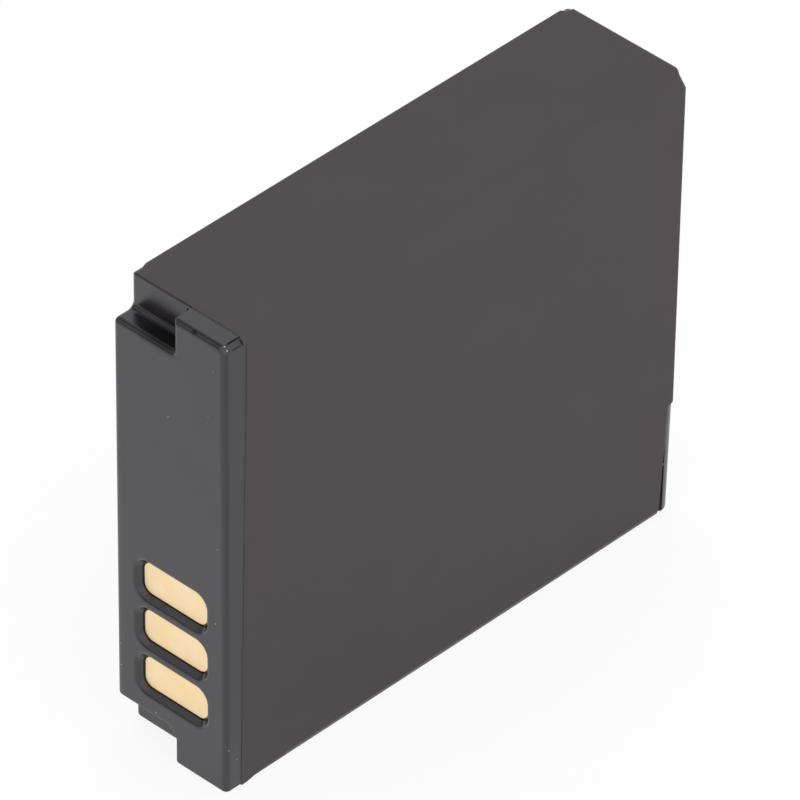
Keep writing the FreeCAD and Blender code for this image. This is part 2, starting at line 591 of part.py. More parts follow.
# Current path from the can to the board
def make_strips():
    thick = "sizes.strip_thickness"
    lead_face = "(%s - %s)" % (terminal_face, thick)
    fuse_end = "(%s + sizes.fuse_length)" % fuse_low
    block("thermal_fuse", "%s - sizes.insulator_thickness - sizes.fuse_thickness" % lid,
          "%s - sizes.fuse_width / 2" % middle_y, fuse_low,
          "sizes.fuse_thickness", "sizes.fuse_width", "sizes.fuse_length")
    block("fuse_lead", lead_face, strip_low_y, "%s - sizes.lead_overlap / 2" % middle_z,
          thick, "sizes.strip_width", "%s - %s + sizes.lead_overlap / 2" % (fuse_low, middle_z))
    bend = "(%s + sizes.negative_reach)" % fuse_end
    strip("negative_tab", [
        (terminal_face, fuse_end),
        (terminal_face, bend),
        (board_back, bend),
        (board_back, "%s - sizes.leg_length" % bend),
        ("%s + %s" % (board_back, thick), "%s - sizes.leg_length" % bend),
        ("%s + %s" % (board_back, thick), "%s - %s" % (bend, thick)),
        (lead_face, "%s - %s" % (bend, thick)),
        (lead_face, fuse_end),
    ])
    strip("positive_tab", [
        (plate_face, "sizes.plate_start"),
        (board_back, "sizes.plate_start"),
        (board_back, "sizes.plate_start + sizes.leg_length"),
        ("%s + %s" % (board_back, thick), "sizes.plate_start + sizes.leg_length"),
        ("%s + %s" % (board_back, thick), "sizes.plate_start + %s" % thick),
        ("%s - %s" % (plate_face, thick), "sizes.plate_start + %s" % thick),
        ("%s - %s" % (plate_face, thick), "sizes.plate_start + sizes.plate_length"),
        (plate_face, "sizes.plate_start + sizes.plate_length"),
    ])
    joints = []
    for name, height in (("negative", "%s - sizes.leg_length / 2" % bend),
                         ("positive", "sizes.plate_start + sizes.leg_length / 2")):
        joint = doc.addObject("Part::Cone", name + "_solder")
        joint.setExpression("Radius1", "sizes.solder_radius")
        joint.setExpression("Radius2", "sizes.solder_radius / 2")
        joint.setExpression("Height", "sizes.solder_height")
        joint.Placement.Rotation = FreeCAD.Rotation(FreeCAD.Vector(0, 1, 0), 90)
        place(joint, "%s + %s" % (board_back, thick), middle_y, height)
        joints.append(joint)
    joined("solder_joints", joints)


# A moulded package on the board with its leads in two rows
def package(name, z, length, width, leads):
    y = "(%s - %s / 2)" % (middle_y, width)
    shapes = [block(name + "_body", board_back, y, "%s - %s / 2" % (z, length),
                    "sizes.package_height", width, length)]
    for i in range(leads):
        offset = "(%s * sizes.lead_pitch)" % (i - (leads - 1) / 2)
        shapes.append(block("%s_lead_%d" % (name, i + 1), board_back, "%s - sizes.lead_reach" % y,
                            "%s + %s - sizes.lead_width / 2" % (z, offset),
                            "sizes.lead_height", "%s + 2 * sizes.lead_reach" % width, "sizes.lead_width"))
    joined(name, shapes)


# A chip part on the board: a ceramic body between two slightly larger metal ends
def chip(name, y, z):
    low_y = "(%s - sizes.chip_length / 2)" % y
    low_z = "(%s - sizes.chip_width / 2)" % z
    shapes = [block(name + "_body", board_back, low_y, "%s + sizes.chip_step" % low_z,
                    "sizes.chip_width - sizes.chip_step", "sizes.chip_length",
                    "sizes.chip_width - 2 * sizes.chip_step")]
    for end, start in (("first", low_y), ("second", "%s + sizes.chip_length - sizes.chip_cap" % low_y)):
        shapes.append(block("%s_%s_end" % (name, end), board_back, start, low_z,
                            "sizes.chip_width", "sizes.chip_cap", "sizes.chip_width"))
    joined(name, shapes)


# Protection board, its parts, the contact plates and the spacer behind it
def make_board():
    overlap = "sizes.contact_overlap"
    for i, name in enumerate(contact_names):
        low_z = "%s + %d * sizes.window_pitch" % (window_low_z, i)
        block(name, "sizes.front_wall", "%s - %s" % (window_low_y, overlap), "%s - %s" % (low_z, overlap),
              "sizes.contact_thickness", "sizes.window_width + 2 * %s" % overlap,
              "sizes.window_height + 2 * %s" % overlap)
    block("circuit_board", board_front, bay_low_y, bay_low_z,
          "sizes.board_thickness", bay_width, bay_height)
    near_row = "(%s - sizes.chip_row)" % middle_y
    far_row = "(%s + sizes.chip_row)" % middle_y
    control_z = "(%s - sizes.control_drop)" % middle_z
    upper_z = "(%s + sizes.switch_length)" % middle_z
    package("protection_ic", control_z, "sizes.control_length", "sizes.control_width", 3)
    package("mosfet_pair", middle_z, "sizes.switch_length", "sizes.switch_width", 4)
    chip("capacitor_1", near_row, "%s - sizes.chip_length" % control_z)
    chip("capacitor_2", far_row, "%s - sizes.chip_length" % control_z)
    chip("resistor_1", near_row, "%s + sizes.chip_length" % control_z)
    chip("resistor_2", far_row, "%s + sizes.chip_length" % control_z)
    chip("thermistor", middle_y, upper_z)
    depth = "(%s - sizes.insulator_thickness - %s)" % (lid, board_back)
    outer = block("spacer_outer", board_back, bay_low_y, bay_low_z, depth, bay_width, bay_height)
    inner = block("spacer_inner", "%s - %s" % (board_back, past), "%s + sizes.spacer_wall" % bay_low_y,
                  "%s + sizes.spacer_wall" % bay_low_z, "%s + 2 * %s" % (depth, past),
                  "%s - 2 * sizes.spacer_wall" % bay_width, "%s - 2 * sizes.spacer_wall" % bay_height)
    less("board_spacer", outer, [inner])


piece_names = [
    "front_cap", "case_frame", "label_wrap", "cell_can", "cell_terminal", "terminal_gasket", "fill_plug",
    "positive_plate", "lid_insulator", "thermal_fuse", "fuse_lead", "negative_tab", "positive_tab",
    "circuit_board", "protection_ic", "mosfet_pair", "thermistor", "capacitor_1", "capacitor_2",
    "resistor_1", "resistor_2", "solder_joints", "board_spacer", "rear_tape",
] + contact_names

make_front_cap()
pack_core = make_envelope("pack_core", "0")
make_case_frame(pack_core)
make_label(pack_core)
make_cell()
make_lid_parts()
make_strips()
make_board()
doc.recompute()

for thing in doc.Objects:
    if "Invalid" in thing.State or "Error" in thing.State:
        raise RuntimeError("%s did not compute: %s" % (thing.Label, thing.State))
pieces = [doc.getObjectsByLabel(name)[0] for name in piece_names]
for piece in pieces:
    if piece.Shape.isNull() or not piece.Shape.isValid():
        raise RuntimeError("%s has no valid shape" % piece.Label)

os.makedirs("parts", exist_ok=True)
for piece in pieces:
    piece.Shape.exportStep("parts/%s.step" % piece.Label)
    print("%s %d solid(s) %.2f mm3" % (piece.Label, len(piece.Shape.Solids), piece.Shape.Volume))
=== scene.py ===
import json
import math
import bpy
from mathutils import Matrix, Vector

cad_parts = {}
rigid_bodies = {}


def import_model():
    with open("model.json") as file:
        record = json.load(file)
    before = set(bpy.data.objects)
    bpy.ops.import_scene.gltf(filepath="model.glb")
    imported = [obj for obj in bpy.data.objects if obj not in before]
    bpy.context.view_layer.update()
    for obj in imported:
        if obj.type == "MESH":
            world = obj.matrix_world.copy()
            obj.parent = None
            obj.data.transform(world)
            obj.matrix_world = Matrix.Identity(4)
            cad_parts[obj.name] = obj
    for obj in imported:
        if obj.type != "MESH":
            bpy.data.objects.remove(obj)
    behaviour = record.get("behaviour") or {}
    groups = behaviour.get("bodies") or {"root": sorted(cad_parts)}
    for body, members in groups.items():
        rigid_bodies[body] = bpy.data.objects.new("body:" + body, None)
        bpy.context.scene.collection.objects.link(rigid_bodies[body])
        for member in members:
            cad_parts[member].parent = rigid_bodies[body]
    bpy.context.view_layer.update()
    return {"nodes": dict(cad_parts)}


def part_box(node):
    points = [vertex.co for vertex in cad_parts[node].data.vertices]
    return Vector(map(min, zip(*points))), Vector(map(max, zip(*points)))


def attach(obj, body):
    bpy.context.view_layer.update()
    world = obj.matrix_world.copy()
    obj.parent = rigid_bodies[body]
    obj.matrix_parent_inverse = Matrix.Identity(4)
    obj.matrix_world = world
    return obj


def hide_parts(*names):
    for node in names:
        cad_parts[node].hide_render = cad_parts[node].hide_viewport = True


# A flat camera battery pack: black moulded cap and frame, a dark grey film label, three gold contacts.

for leftover in list(bpy.data.objects):
    bpy.data.objects.remove(leftover)

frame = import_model()
nodes = frame["nodes"]
mm = 0.001  # the scene is in metres
print("frame loaded:", len(nodes), "pieces")


# camera at the photograph's viewing angle
cameraLook = {
    "standpoint": (-0.40713, -0.39128, 0.45825),
    "heading": 43.877,  # degrees from +X towards +Y
    "downward": 38.0,  # degrees
    "roll": 0.417,  # degrees
    "lens": 517.3,
    "sensor": 36.0,
    "nearest": 0.05,
    "furthest": 50.0,
}


def makeCamera(look):
    heading, downward, roll = (math.radians(look[key]) for key in ("heading", "downward", "roll"))
    flat = math.cos(downward)
    ahead = Vector((flat * math.cos(heading), flat * math.sin(heading), -math.sin(downward)))
    level = Vector((math.sin(heading), -math.cos(heading), 0))
    right = level * math.cos(roll) + level.cross(ahead) * math.sin(roll)
    turn = Matrix((right, right.cross(ahead), -ahead)).transposed().to_4x4()
    data = bpy.data.cameras.new("camera")
    data.lens = look["lens"]
    data.sensor_width = look["sensor"]
    data.clip_start = look["nearest"]
    data.clip_end = look["furthest"]
    camera = bpy.data.objects.new("camera", data)
    camera.matrix_world = Matrix.Translation(look["standpoint"]) @ turn
    bpy.context.scene.collection.objects.link(camera)
    bpy.context.scene.camera = camera


# small helpers for node trees
def addNode(tree, kind, inputs=None, **settings):
    node = tree.nodes.new(kind)
    for name, value in settings.items():
        setattr(node, name, value)
    for name, value in (inputs or {}).items():
        if isinstance(value, bpy.types.NodeSocket):
            tree.links.new(value, node.inputs[name])
        else:
            node.inputs[name].default_value = value
    return node


def newGroup(name, inputs, outputs, kind="ShaderNodeTree"):
    tree = bpy.data.node_groups.new(name, kind)
    for label, form, start in inputs:
        socket = tree.interface.new_socket(name=label, in_out="INPUT", socket_type="NodeSocket" + form)
        if start is not None:
            socket.default_value = start
    for label, form in outputs:
        tree.interface.new_socket(name=label, in_out="OUTPUT", socket_type="NodeSocket" + form)
    return tree, tree.nodes.new("NodeGroupInput").outputs, tree.nodes.new("NodeGroupOutput")


def useGroup(tree, group, inputs):
    return addNode(tree, "ShaderNodeGroup", inputs, node_tree=group).outputs


def maths(tree, operation, *values):
    return addNode(tree, "ShaderNodeMath", dict(enumerate(values)), operation=operation).outputs[0]


def vectorMaths(tree, operation, *values, output=0):
    inputs = dict(enumerate(values))
    return addNode(tree, "ShaderNodeVectorMath", inputs, operation=operation).outputs[output]


def axisOf(tree, vector, axis):
    return addNode(tree, "ShaderNodeSeparateXYZ", {0: vector}).outputs[axis]


# brings a value from between two limits to between start and end
def rangeOf(tree, value, limits, start=0.0, end=1.0):
    inputs = {"Value": value, "From Min": limits[0], "From Max": limits[1], "To Min": start, "To Max": end}
    return addNode(tree, "ShaderNodeMapRange", inputs).outputs[0]


def blendColours(tree, share, first, second):
    return addNode(tree, "ShaderNodeMix", {0: share, 6: first, 7: second}, data_type="RGBA").outputs[2]


def noiseAt(tree, place, size, detail=2.0):
    inputs = {"Vector": place, "Scale": maths(tree, "DIVIDE", 1.0, size), "Detail": detail}
    return addNode(tree, "ShaderNodeTexNoise", inputs).outputs[0]


# effects that several finishes share, in millimetres
grainLook = {
    "detail": 3.0,
    "fineShare": 0.35,
    "patchShare": 0.65,
    "spread": (0.3, 0.7),  # noise at the lowest and the highest roughness
}
cloudLook = {
    "detail": 4.0,
    "spread": (0.35, 0.65),  # noise at the first and the second colour
}
dustLook = {
    "grainSpread": (0.5, 0.75),
    "patchSize": 4.0,
    "patchSpread": (0.3, 0.8),
    "facingSpread": (-0.2, 1.0),  # upward part of the normal, from the least dust to the most
    "leastShare": 0.35,
}
dentAndPaintedLightLook = {
    "rimGrain": 0.15,
    "rimSpread": (0.3, 0.7),
}
cutEdgeLook = {
    "facingSpread": (-0.95, -0.6),  # part of the normal along X
}
paintedEdgeLightLook = {
    "softEdge": (0.7, 1.0),  # share of the band's width
}


def makeSurfaceGrain(look):
    tree, given, result = newGroup("surfaceGrain", [
        ("Vector", "Vector", None), ("Grain Size", "Float", 0.1), ("Patch Size", "Float", 5.0),
        ("Lowest Roughness", "Float", 0.3), ("Highest Roughness", "Float", 0.4),
    ], [("Roughness", "Float"), ("Height", "Float")])
    fine = noiseAt(tree, given["Vector"], given["Grain Size"], look["detail"])
    patches = noiseAt(tree, given["Vector"], given["Patch Size"])
    patchPart = maths(tree, "MULTIPLY", patches, look["patchShare"])
    share = maths(tree, "MULTIPLY_ADD", fine, look["fineShare"], patchPart)
    lowest, highest = given["Lowest Roughness"], given["Highest Roughness"]
    tree.links.new(rangeOf(tree, share, look["spread"], lowest, highest), result.inputs["Roughness"])
    tree.links.new(fine, result.inputs["Height"])
    return tree


def makeCloudyColour(look):
    tree, given, result = newGroup("cloudyColour", [
        ("Vector", "Vector", None), ("Cloud Size", "Float", 3.0), ("Stretch", "Vector", (1, 1, 1)),
        ("First Colour", "Color", (0.5, 0.5, 0.5, 1)), ("Second Colour", "Color", (0.6, 0.6, 0.6, 1)),
    ], [("Colour", "Color")])
    place = vectorMaths(tree, "MULTIPLY", given["Vector"], given["Stretch"])
    mask = rangeOf(tree, noiseAt(tree, place, given["Cloud Size"], look["detail"]), look["spread"])
    colour = blendColours(tree, mask, given["First Colour"], given["Second Colour"])
    tree.links.new(colour, result.inputs["Colour"])
    return tree


# fine dust, thicker where a surface faces upwards
def makeDustFilm(look):
    tree, given, result = newGroup("dustFilm", [
        ("Vector", "Vector", None), ("Normal", "Vector", None),
        ("Amount", "Float", 0.1), ("Grain Size", "Float", 0.06),
    ], [("Mask", "Float")])
    grains = rangeOf(tree, noiseAt(tree, given["Vector"], given["Grain Size"]), look["grainSpread"])
    patches = rangeOf(tree, noiseAt(tree, given["Vector"], look["patchSize"]), look["patchSpread"])
    upwards = axisOf(tree, given["Normal"], "Z")
    lying = rangeOf(tree, upwards, look["facingSpread"], look["leastShare"])
    amount = maths(tree, "MULTIPLY", maths(tree, "MULTIPLY", grains, patches), lying)
    tree.links.new(maths(tree, "MULTIPLY", amount, given["Amount"]), result.inputs["Mask"])
    return tree


# a mark round one place with an uneven rim, used for small dents and for soft patches of painted shade and
# painted highlight
def makeDentAndPaintedLightMark(look):
    tree, given, result = newGroup("dentAndPaintedLightMark", [
        ("Vector", "Vector", None), ("Place", "Vector", (0, 0, 0)),
        ("Stretch", "Vector", (1, 1, 1)), ("Size", "Float", 0.2),
        ("Core", "Float", 0.7), ("Unevenness", "Float", 0.4),
    ], [("Mask", "Float")])
    offset = vectorMaths(tree, "SUBTRACT", given["Vector"], given["Place"])
    away = vectorMaths(tree, "MULTIPLY", offset, given["Stretch"])
    distance = vectorMaths(tree, "LENGTH", away, output="Value")
    least, most = (maths(tree, way, 1.0, given["Unevenness"]) for way in ("SUBTRACT", "ADD"))
    rim = rangeOf(tree, noiseAt(tree, given["Vector"], look["rimGrain"]), look["rimSpread"], least, most)
    share = maths(tree, "DIVIDE", distance, maths(tree, "MULTIPLY", given["Size"], rim))
    tree.links.new(rangeOf(tree, share, (given["Core"], 1.0), 1.0, 0.0), result.inputs["Mask"])
    return tree


# the cut edge of a film that faces the contact end, before a given depth
def makeCutEdge(look):
    tree, given, result = newGroup("cutEdge", [
        ("Vector", "Vector", None), ("Normal", "Vector", None), ("Furthest", "Float", 0.0),
    ], [("Mask", "Float")])
    before = maths(tree, "LESS_THAN", axisOf(tree, given["Vector"], "Y"), given["Furthest"])
    facing = rangeOf(tree, axisOf(tree, given["Normal"], "X"), look["facingSpread"], 1.0, 0.0)
    tree.links.new(maths(tree, "MULTIPLY", facing, before), result.inputs["Mask"])
    return tree


# painted light: a lighter narrow band along the film's edge, on a line that may lean, filling in the
# shadow line there
def makePaintedEdgeLight(look):
    tree, given, result = newGroup("paintedEdgeLight", [
        ("Vector", "Vector", None), ("Start", "Float", 0.0), ("Lean", "Float", 0.0),
        ("Width", "Float", 0.1), ("Lowest", "Float", -1.0), ("Furthest", "Float", 0.0),
    ], [("Mask", "Float")])
    across, depth, height = (axisOf(tree, given["Vector"], axis) for axis in ("X", "Y", "Z"))
    line = maths(tree, "MULTIPLY_ADD", height, given["Lean"], given["Start"])
    distance = maths(tree, "ABSOLUTE", maths(tree, "SUBTRACT", across, line))
    away = maths(tree, "DIVIDE", distance, given["Width"])
    above = maths(tree, "GREATER_THAN", height, given["Lowest"])
    before = maths(tree, "LESS_THAN", depth, given["Furthest"])
    band = maths(tree, "MULTIPLY", rangeOf(tree, away, look["softEdge"], 1.0, 0.0),
                 maths(tree, "MULTIPLY", above, before))
    tree.links.new(band, result.inputs["Mask"])
    return tree


surfaceGrain = makeSurfaceGrain(grainLook)
cloudyColour = makeCloudyColour(cloudLook)
dustFilm = makeDustFilm(dustLook)
dentAndPaintedLightMark = makeDentAndPaintedLightMark(dentAndPaintedLightLook)
cutEdge = makeCutEdge(cutEdgeLook)
paintedEdgeLight = makePaintedEdgeLight(paintedEdgeLightLook)

# what a finish and a mark have where they name nothing else
plainFinish = {"stretch": (1, 1, 1), "metallic": 0.0, "specular": 0.5, "dentsAndPaintedLight": [], "paintedEdgeLight": []}
plainDentAndPaintedLight = {"stretch": (1, 1, 1), "unevenness": 0.4, "depth": 0.0, "reflectionShade": 0.0}


# one finish: cloudy colour, dust, dents and patches of painted shade and highlight, a band of painted
# light along an edge, a paler cut edge, grain on the roughness and a fine bump; lengths in millimetres
def makeFinish(name, settings):
    look = {**plainFinish, **settings}
    material = bpy.data.materials.new(name)
    material.use_nodes = True
    tree = material.node_tree
    shader = tree.nodes["Principled BSDF"]
    coordinates = addNode(tree, "ShaderNodeTexCoord").outputs["Object"]
    place = addNode(tree, "ShaderNodeMapping", {"Vector": coordinates, "Scale": (1 / mm,) * 3}).outputs[0]
    facing = addNode(tree, "ShaderNodeNewGeometry").outputs["Normal"]
    colour = useGroup(tree, cloudyColour, {
        "Vector": place, "Cloud Size": look["cloudSize"], "Stretch": look["stretch"],
        "First Colour": (*look["colour"], 1), "Second Colour": (*look["otherColour"], 1),
    })["Colour"]
    grain = useGroup(tree, surfaceGrain, {
        "Vector": place, "Grain Size": look["grainSize"], "Patch Size": look["patchSize"],
        "Lowest Roughness": look["roughness"][0], "Highest Roughness": look["roughness"][1],
    })
    height = grain["Height"]
    metallic = look["metallic"]
    if "dust" in look:
        mask = useGroup(tree, dustFilm, {
            "Vector": place, "Normal": facing, "Amount": look["dust"],
        })["Mask"]
        colour = blendColours(tree, mask, colour, (*look["dustColour"], 1))
    for placedMark in look["dentsAndPaintedLight"]:
        mark = {**plainDentAndPaintedLight, **placedMark}
        mask = useGroup(tree, dentAndPaintedLightMark, {
            "Vector": place, "Place": mark["place"], "Stretch": mark["stretch"], "Size": mark["size"],
            "Core": mark["core"], "Unevenness": mark["unevenness"],
        })["Mask"]
        colour = blendColours(tree, mask, colour, (*mark["colour"], 1))
        height = maths(tree, "SUBTRACT", height, maths(tree, "MULTIPLY", mask, mark["depth"]))
        # painted shade: a dark colour at full metallic reflects next to nothing
        metallic = maths(tree, "MAXIMUM", metallic, maths(tree, "MULTIPLY", mask, mark["reflectionShade"]))
    # painted light along the film's edge, where its shadow line would be
    for band in look["paintedEdgeLight"]:
        mask = useGroup(tree, paintedEdgeLight, {
            "Vector": place, "Start": band["start"], "Lean": band["lean"], "Width": band["width"],
            "Lowest": band["lowest"], "Furthest": band["furthest"],
        })["Mask"]
        colour = blendColours(tree, mask, colour, (*band["colour"], 1))
    # the film's cut edge is paler: partly its pale core, partly painted light that offsets the shade on
    # that thin edge
    if "cutEdgeCoreAndPaintedLight" in look:
        mask = useGroup(tree, cutEdge, {
            "Vector": place, "Normal": facing, "Furthest": look["edgeFurthest"],
        })["Mask"]
        colour = blendColours(tree, mask, colour, (*look["cutEdgeCoreAndPaintedLight"], 1))
    bump = addNode(tree, "ShaderNodeBump", {
        "Height": height, "Strength": look["bump"], "Distance": look["grainDepth"] * mm,
    })
    tree.links.new(colour, shader.inputs["Base Color"])
    tree.links.new(grain["Roughness"], shader.inputs["Roughness"])
    tree.links.new(bump.outputs[0], shader.inputs["Normal"])
    if look["dentsAndPaintedLight"]:
        tree.links.new(metallic, shader.inputs["Metallic"])
    else:
        shader.inputs["Metallic"].default_value = metallic
    shader.inputs["Specular IOR Level"].default_value = look["specular"]
    return material


def paint(names, material):
    for name in names:
        for slot in nodes[name].material_slots:
            slot.material = material


capFinish = {
    "colour": (0.0126, 0.0094, 0.016), "otherColour": (0.0156, 0.0124, 0.019), "cloudSize": 6.0,
    "grainSize": 0.05, "patchSize": 5.0, "roughness": (0.22, 0.28), "bump": 0.3, "grainDepth": 0.002,
    "specular": 0.73, "dust": 0.03, "dustColour": (0.3, 0.3, 0.29),
    "dentsAndPaintedLight": [
        # nick on the upper edge: a dent in the bump, with painted shade in it (dark colour, reflection
        # taken away)
        {"place": (-20.4, -2.13, 34.84), "stretch": (1, 0.6, 1), "size": 0.17, "core": 0.5,
         "unevenness": 0.3, "colour": (0.008, 0.008, 0.01), "depth": 6.0, "reflectionShade": 0.8},
        # painted shade: the bevel's two dark edge lines, dark colour with the reflection taken away
        {"place": (-19.45, -4.46, 34.84), "stretch": (0.1, 1, 1), "size": 0.08, "core": 0.5,
         "unevenness": 0.15, "colour": (0.006, 0.006, 0.007), "reflectionShade": 0.9},
        {"place": (-19.4, -4.77, 34.46), "stretch": (0.13, 1, 1), "size": 0.08, "core": 0.4,
         "unevenness": 0.15, "colour": (0.008, 0.008, 0.01), "reflectionShade": 0.7},
        # painted shade on the floor of the upper notch: dark colour with the reflection partly taken away
        {"place": (-19.7, 0.9, 32.3), "stretch": (1, 0.38, 1), "size": 1.1, "core": 0.4,
         "unevenness": 0.0, "colour": (0.008, 0.008, 0.009), "reflectionShade": 0.55},
        # painted highlights: pale spots at the windows' lower corners
        {"place": (-20.45, 2.47, 4.55), "size": 0.17, "core": 0.1, "colour": (0.05, 0.05, 0.05)},
        {"place": (-20.45, 2.5, 8.3), "size": 0.18, "core": 0.1, "colour": (0.045, 0.045, 0.045)},
        {"place": (-20.45, 2.45, 12.0), "size": 0.17, "core": 0.1, "colour": (0.045, 0.045, 0.045)},
        # painted highlight: a lighter band along the upright rear edge
        {"place": (-20.4, 4.9, 13.0), "stretch": (0.5, 1, 0.045), "size": 0.9, "core": 0.0,
         "unevenness": 0.1, "colour": (0.045, 0.043, 0.044)},
    ],
    # painted light along the label's front edge, on the side and on the top, filling in its shadow line
    "paintedEdgeLight": [
        {"start": -19.185, "lean": 0.0186, "width": 0.075, "lowest": -1.0, "furthest": -4.0,
         "colour": (0.062, 0.059, 0.06)},
        {"start": -18.865, "lean": 0.0, "width": 0.075, "lowest": 34.7, "furthest": -0.45,
         "colour": (0.062, 0.059, 0.06)},
    ],
}
frameFinish = {
    "colour": (0.031, 0.034, 0.039), "otherColour": (0.035, 0.038, 0.043), "cloudSize": 6.0,
    "grainSize": 0.05, "patchSize": 5.0, "roughness": (0.14, 0.22), "bump": 0.3, "grainDepth": 0.002,
    "specular": 1.0, "dust": 0.02, "dustColour": (0.3, 0.3, 0.3),
}
labelFinish = {
    "colour": (0.0638, 0.0533, 0.0553), "otherColour": (0.0658, 0.0553, 0.0573), "cloudSize": 7.0,
    "grainSize": 0.08, "patchSize": 8.0, "roughness": (0.6, 0.68), "bump": 0.25, "grainDepth": 0.003,
    "specular": 0.25, "dust": 0.02, "dustColour": (0.3, 0.28, 0.27),
    # pale cut edge: the film's core, and painted light that offsets the shade on the thin edge
    "cutEdgeCoreAndPaintedLight": (0.14, 0.127, 0.128), "edgeFurthest": -0.4,
}
goldFinish = {
    "colour": (1.0, 0.79, 0.51), "otherColour": (0.99, 0.75, 0.44), "cloudSize": 1.6,
    "grainSize": 0.04, "patchSize": 1.2, "roughness": (0.3, 0.42), "bump": 0.3, "grainDepth": 0.004,
    "metallic": 1.0,
}
aluminiumFinish = {
    "colour": (0.74, 0.74, 0.75), "otherColour": (0.8, 0.8, 0.81),
    "cloudSize": 0.5, "stretch": (0.08, 1, 1),
    "grainSize": 0.05, "patchSize": 2.0, "roughness": (0.28, 0.42), "bump": 0.3, "grainDepth": 0.003,
    "metallic": 1.0,
}
nickelFinish = {
    "colour": (0.62, 0.6, 0.56), "otherColour": (0.68, 0.66, 0.62),
    "cloudSize": 0.4, "stretch": (1, 1, 0.1),
    "grainSize": 0.04, "patchSize": 1.0, "roughness": (0.22, 0.36), "bump": 0.3, "grainDepth": 0.002,
    "metallic": 1.0,
}
innerPlasticFinish = {
    "colour": (0.045, 0.045, 0.05), "otherColour": (0.055, 0.055, 0.06), "cloudSize": 2.0,
    "grainSize": 0.05, "patchSize": 2.0, "roughness": (0.5, 0.65), "bump": 0.4, "grainDepth": 0.006,
}
fibreFinish = {
    "colour": (0.7, 0.63, 0.46), "otherColour": (0.76, 0.7, 0.55),
    "cloudSize": 0.3, "stretch": (1, 1, 0.3),
    "grainSize": 0.06, "patchSize": 1.0, "roughness": (0.75, 0.9), "bump": 0.6, "grainDepth": 0.015,
}
boardFinish = {
    "colour": (0.035, 0.16, 0.075), "otherColour": (0.05, 0.21, 0.1), "cloudSize": 0.8,
    "grainSize": 0.1, "patchSize": 2.0, "roughness": (0.25, 0.35), "bump": 0.3, "grainDepth": 0.01,
}
resinFinish = {
    "colour": (0.026, 0.026, 0.027), "otherColour": (0.034, 0.034, 0.035), "cloudSize": 0.5,
    "grainSize": 0.03, "patchSize": 0.6, "roughness": (0.5, 0.62), "bump": 0.4, "grainDepth": 0.004,
}
ceramicFinish = {
    "colour": (0.5, 0.37, 0.24), "otherColour": (0.58, 0.45, 0.31), "cloudSize": 0.3,
    "grainSize": 0.03, "patchSize": 0.4, "roughness": (0.4, 0.5), "bump": 0.3, "grainDepth": 0.003,
}
solderFinish = {
    "colour": (0.68, 0.68, 0.69), "otherColour": (0.76, 0.76, 0.76), "cloudSize": 0.4,
    "grainSize": 0.08, "patchSize": 0.5, "roughness": (0.15, 0.3), "bump": 0.5, "grainDepth": 0.01,
    "metallic": 1.0,
}
tapeFinish = {
    "colour": (0.8, 0.78, 0.7), "otherColour": (0.86, 0.85, 0.79), "cloudSize": 1.5,
    "grainSize": 0.06, "patchSize": 2.0, "roughness": (0.45, 0.6), "bump": 0.4, "grainDepth": 0.006,
}

paint(["front_cap"], makeFinish("capPlastic", capFinish))
framePlastic = makeFinish("framePlastic", frameFinish)
paint(["case_frame"], framePlastic)
labelFilm = makeFinish("labelFilm", labelFinish)
paint(["label_wrap"], labelFilm)
paint(["cell_can", "fill_plug"], makeFinish("canAluminium", aluminiumFinish))
paint(["cell_terminal", "positive_plate", "fuse_lead", "negative_tab", "positive_tab"],
      makeFinish("stripNickel", nickelFinish))
paint(["terminal_gasket", "thermal_fuse", "board_spacer"],
      makeFinish("innerPlastic", innerPlasticFinish))
paint(["lid_insulator"], makeFinish("pressedFibre", fibreFinish))
paint(["circuit_board"], makeFinish("solderMask", boardFinish))
paint(["protection_ic", "mosfet_pair", "thermistor", "resistor_1", "resistor_2"],
      makeFinish("chipResin", resinFinish))
paint(["capacitor_1", "capacitor_2"], makeFinish("chipCeramic", ceramicFinish))
paint(["solder_joints"], makeFinish("brightSolder", solderFinish))
paint(["rear_tape"], makeFinish("adhesiveTape", tapeFinish))
contactGold = makeFinish("contactGold", goldFinish)
print("finishes made")


# runs a Geometry Nodes tree on a mesh with the given inputs and keeps the result as a plain mesh
def growMesh(name, tree, inputs, points=()):
    start = bpy.data.meshes.new(name + "Start")
    start.from_pydata([tuple(point) for point in points], [], [])
    holder = bpy.data.objects.new(name + "Holder", start)
    bpy.context.scene.collection.objects.link(holder)
    modifier = holder.modifiers.new("shape", "NODES")
    modifier.node_group = tree
    for socket in tree.interface.items_tree:
        if socket.item_type == "SOCKET" and socket.in_out == "INPUT" and socket.name in inputs:
            modifier[socket.identifier] = inputs[socket.name]
    evaluated = holder.evaluated_get(bpy.context.evaluated_depsgraph_get())
    mesh = bpy.data.meshes.new_from_object(evaluated)
    bpy.data.objects.remove(holder)
    piece = bpy.data.objects.new(name, mesh)
    bpy.context.scene.collection.objects.link(piece)
    return piece


# contact plates: stamped strips with a slightly uneven gold face, a little proud in its window
contactLook = {
    "cellsAcross": 120,
    "cellsUp": 64,
    "waviness": 0.004,  # mm
    "waveSize": 1.7,  # mm
    "waveDetail": 1.0,
    "proud": 0.13,  # mm
    "border": 0.15,  # mm, flat border round the proud part, under the window's edge
    "corner": 0.72,  # mm
    "slope": 0.07,  # mm, width of the proud part's side
    "smoothAngle": 1.2,  # radians
}


